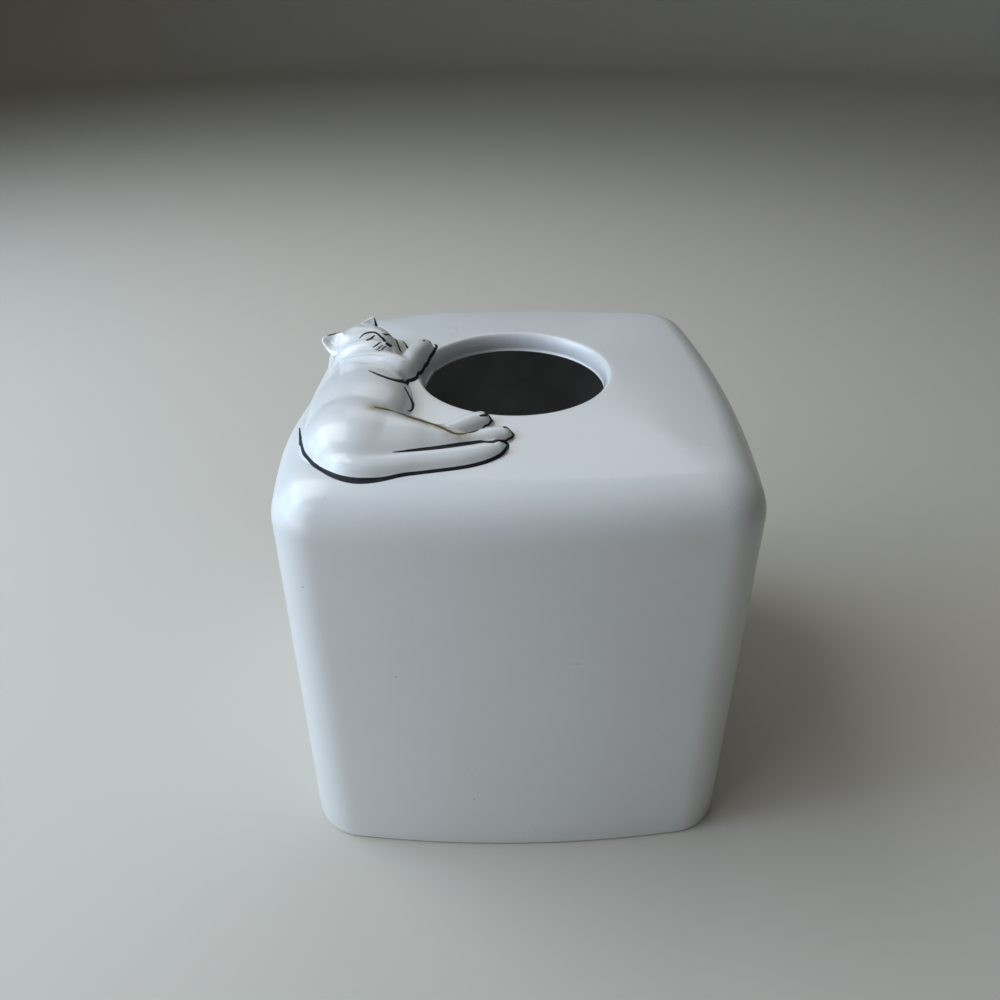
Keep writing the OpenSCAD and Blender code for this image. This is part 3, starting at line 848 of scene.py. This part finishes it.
def glazeMaterial(name, g):
    # off-white glaze: faint clouds in the colour, orange-peel bump, pinholes, and the marks of use
    mat, nodes, links = newMaterial(name)
    shader = nodes["Principled BSDF"]
    shader.inputs["Coat Weight"].default_value = g["coat"]
    shader.inputs["Coat Roughness"].default_value = g["coatRough"]
    shader.inputs["IOR"].default_value = 1.5
    coords = nodes.new("ShaderNodeTexCoord").outputs["Object"]
    cloud = rangeNode(nodes, links, noiseNode(nodes, links, coords, g["cloudScale"], 3), 0.35, 0.7)
    base = nodes.new("ShaderNodeMix")
    base.data_type = "RGBA"
    links.new(cloud, base.inputs["Factor"])
    base.inputs["A"].default_value = (*[v * g["cloudDark"] for v in g["colour"]], 1)
    base.inputs["B"].default_value = (*g["colour"], 1)
    colour = base.outputs["Result"]
    pin = noiseNode(nodes, links, coords, g["pinScale"], 1)
    pin = rangeNode(nodes, links, pin, g["pinFrom"], g["pinFrom"] + pinEdge, 0, pinStrength)
    colour = mixColour(nodes, links, pin, colour, g["pinColour"])
    # brown dirt and painted shade near the creases, the paws and the chin, read from the vertex attribute
    if "grimeAndShade" in g:
        dirtAndShade = nodes.new("ShaderNodeAttribute")
        dirtAndShade.attribute_name = "grimeAndShade"
        patch = noiseNode(nodes, links, coords, g["grimeAndShadeScale"], 3, 0.6)
        patch = rangeNode(nodes, links, patch, 0.3, 0.65, 0.35, 1)
        both = nodes.new("ShaderNodeMath")
        both.operation = "MULTIPLY"
        links.new(dirtAndShade.outputs["Fac"], both.inputs[0])
        links.new(patch, both.inputs[1])
        colour = mixColour(nodes, links, both.outputs["Value"], colour, g["grimeAndShade"])
    for mark in g.get("marks", ()):
        shown = addMark(nodes, links, coords, mark)
        colour = mixColour(nodes, links, shown, colour, markColours[mark["colour"]])
    links.new(colour, shader.inputs["Base Color"])
    rough = rangeNode(nodes, links, noiseNode(nodes, links, coords, g["cloudScale"] * 3, 4), 0.3, 0.7,
                      g["rough"] - roughVary, g["rough"] + roughVary)
    links.new(rough, shader.inputs["Roughness"])
    peel = nodes.new("ShaderNodeBump")
    peel.inputs["Strength"].default_value = g["peel"]
    peel.inputs["Distance"].default_value = peelDepth
    links.new(noiseNode(nodes, links, coords, peelScale, 2), peel.inputs["Height"])
    links.new(peel.outputs["Normal"], shader.inputs["Normal"])
    links.new(peel.outputs["Normal"], shader.inputs["Coat Normal"])
    return mat


def plainMaterial(name, colour, rough, scale=60, vary=0.2, level=0.5):
    # one colour that varies a little in patches, and a little in gloss
    mat, nodes, links = newMaterial(name)
    shader = nodes["Principled BSDF"]
    shader.inputs["Specular IOR Level"].default_value = level
    coords = nodes.new("ShaderNodeTexCoord").outputs["Object"]
    patch = noiseNode(nodes, links, coords, scale, 4)
    mix = nodes.new("ShaderNodeMix")
    mix.data_type = "RGBA"
    links.new(rangeNode(nodes, links, patch, 0.3, 0.7), mix.inputs["Factor"])
    mix.inputs["A"].default_value = (*[v * (1 - vary) for v in colour], 1)
    mix.inputs["B"].default_value = (*[v * (1 + vary) for v in colour], 1)
    links.new(mix.outputs["Result"], shader.inputs["Base Color"])
    gloss = rangeNode(nodes, links, patch, 0.3, 0.7, rough - 0.05, rough + 0.05)
    links.new(gloss, shader.inputs["Roughness"])
    return mat


glaze = {
    "cover": {
        "colour": (0.66, 0.66, 0.655), "rough": 0.36, "coat": 0.4, "coatRough": 0.15, "peel": 0.06,
        "cloudScale": 22, "cloudDark": 0.965,
        "pinScale": 900, "pinFrom": 0.76, "pinColour": (0.42, 0.41, 0.38),
        "marks": [      # middle, in the frame's pixels (seen) or in mm (at); half sizes, mm; turn, degrees
            {"at": (50.7, -44.4, 138.1), "size": (3.2, 0.9, 1.5), "turn": -24,
             "strength": 0.6, "colour": "pale"},
            {"at": (43.8, -45.6, 137.9), "size": (2.2, 0.25, 1.0), "strength": 0.45, "colour": "pale"},
            {"seen": (456, 328), "size": (0.6, 0.7, 0.8), "strength": 0.7, "colour": "dark"},
            {"seen": (577, 664), "size": (1.2, 1.0, 0.25), "strength": 0.5, "colour": "dash"},
            {"seen": (396, 677), "size": (0.5, 0.8, 0.45), "strength": 0.6, "colour": "pit"},
            {"seen": (303, 587), "size": (0.5, 0.8, 0.5), "strength": 0.5, "colour": "pit"},
            {"seen": (474, 799), "size": (0.5, 0.8, 0.5), "strength": 0.5, "colour": "pit"},
            {"seen": (472, 775), "size": (0.45, 0.8, 0.45), "strength": 0.4, "colour": "pit"},
        ],
    },
    "cat": {
        "colour": (0.68, 0.68, 0.675), "rough": 0.32, "coat": 0.5, "coatRough": 0.12, "peel": 0.08,
        "cloudScale": 30, "cloudDark": 0.96,
        "pinScale": 900, "pinFrom": 0.76, "pinColour": (0.42, 0.41, 0.38),
        # brown of the dirt and painted shade in the creases and under the chin
        "grimeAndShade": (0.36, 0.30, 0.17), "grimeAndShadeScale": 420,
    },
}
coverGlaze = glazeMaterial("coverGlaze", glaze["cover"])
catGlaze = glazeMaterial("catGlaze", glaze["cat"])
insideGlaze = plainMaterial("insideGlaze", (0.55, 0.55, 0.53), 0.7, level=0.3)
for mat in (coverGlaze, insideGlaze):
    coverObj.data.materials.append(mat)
for obj in list(formObjs.values()) + list(earObjs.values()):
    obj.data.materials.append(catGlaze)
paintMaterials = {
    "black": plainMaterial("paintBlack", (0.012, 0.013, 0.017), 0.6, 300, 0.3, level=0.2),
    # brown of the bead in the thigh's crease, dirt and painted shade
    "crease": plainMaterial("creaseBrown", (0.09, 0.07, 0.04), 0.6, 400, 0.5),
    # grey of the faint lines, among them the painted shade along the neck
    "faint": plainMaterial("faintGrey", (0.42, 0.43, 0.44), 0.45, 300),
}
for key, obj in paintObjs.items():
    obj.data.materials.append(paintMaterials[key])
print("materials made")

# stage, light and camera
studio = {
    "floor": (0.53, 0.495, 0.43), "floorRough": 0.8,
    "flat": 2.2, "bend": 0.5, "wall": 0.7,        # radius of the floor and of its bend, height of the wall, m
    "world": (1.0, 0.97, 0.92), "worldStrength": 0.005,
    "lamps": {      # metres, watts
        "windowLight": {
            "at": (-0.9, -0.45, 0.45), "size": (0.8, 0.8), "power": 5.4, "colour": (0.76, 0.8, 1.0),
        },
        "sideLight": {
            "at": (-1.0, 0.0, 0.45), "size": (0.8, 0.8), "power": 5.9, "colour": (0.36, 0.67, 1.0),
        },
        "skyLight": {
            "at": (-0.7, 0.1, 0.95), "size": (0.8, 0.8), "power": 7.9, "colour": (0.93, 1.0, 1.04),
        },
        "lowLight": {
            "at": (-0.6, -0.5, 0.12), "size": (0.5, 0.2), "power": 0.5, "colour": (0.9, 1.0, 0.7),
        },
        "backLight": {
            "at": (0.0, 0.6, 0.7), "size": (0.6, 0.4), "power": 0.78, "colour": (0.98, 0.95, 1.0),
        },
    },
}


def buildFloor(rings=60, around=96):
    # a round floor that curves up through a quarter circle into a wall, turned round the axis, metres
    flat, bend, wall = studio["flat"], studio["bend"], studio["wall"]
    run = np.linspace(0, 1, rings) ** 0.8 * (flat + bend * math.pi / 2 + wall)
    turn = np.clip((run - flat) / bend, 0, math.pi / 2)
    r = np.minimum(run, flat) + bend * np.sin(turn)
    z = bend * (1 - np.cos(turn)) + np.maximum(run - flat - bend * math.pi / 2, 0)
    ang = np.linspace(0, 2 * math.pi, around, endpoint=False)
    r, z = r[:, None], z[:, None]
    pts = np.stack(np.broadcast_arrays(r * np.cos(ang), r * np.sin(ang), z), -1) / mm
    obj = newMesh("floor", pts[1:], gridFaces(rings - 1, around, closeCols=True))
    weld(obj)
    mat, nodes, _ = newMaterial("floorPaint")
    nodes["Principled BSDF"].inputs["Base Color"].default_value = (*studio["floor"], 1)
    nodes["Principled BSDF"].inputs["Roughness"].default_value = studio["floorRough"]
    obj.data.materials.append(mat)


def areaLight(name, spec, target=(0, 0, 0.08)):  # a square lamp turned to the object, unseen by the camera
    data = bpy.data.lights.new(name, "AREA")
    data.shape = "RECTANGLE"
    data.size, data.size_y = spec["size"]
    data.energy = spec["power"]
    data.color = spec["colour"]
    obj = bpy.data.objects.new(name, data)
    obj.location = spec["at"]
    obj.rotation_euler = (Vector(target) - Vector(spec["at"])).to_track_quat("-Z", "Y").to_euler()
    obj.visible_camera = False
    bpy.context.scene.collection.objects.link(obj)


buildFloor()
for name, spec in studio["lamps"].items():
    areaLight(name, spec)
world = bpy.data.worlds.new("room")
bpy.context.scene.world = world
world.use_nodes = True
world.node_tree.nodes["Background"].inputs["Color"].default_value = (*studio["world"], 1)
world.node_tree.nodes["Background"].inputs["Strength"].default_value = studio["worldStrength"]

camData = bpy.data.cameras.new("camera")
camData.sensor_width = view["sensor"]
camData.lens = view["sensor"] * view["focal"]
camData.clip_start = 0.01
cam = bpy.data.objects.new("camera", camData)
cam.matrix_world = Matrix.Translation(Vector(view["at"]) * mm) @ viewTurn
bpy.context.scene.collection.objects.link(cam)
bpy.context.scene.camera = cam
bpy.context.scene.view_settings.view_transform = "Standard"
print("stage, light and camera made")
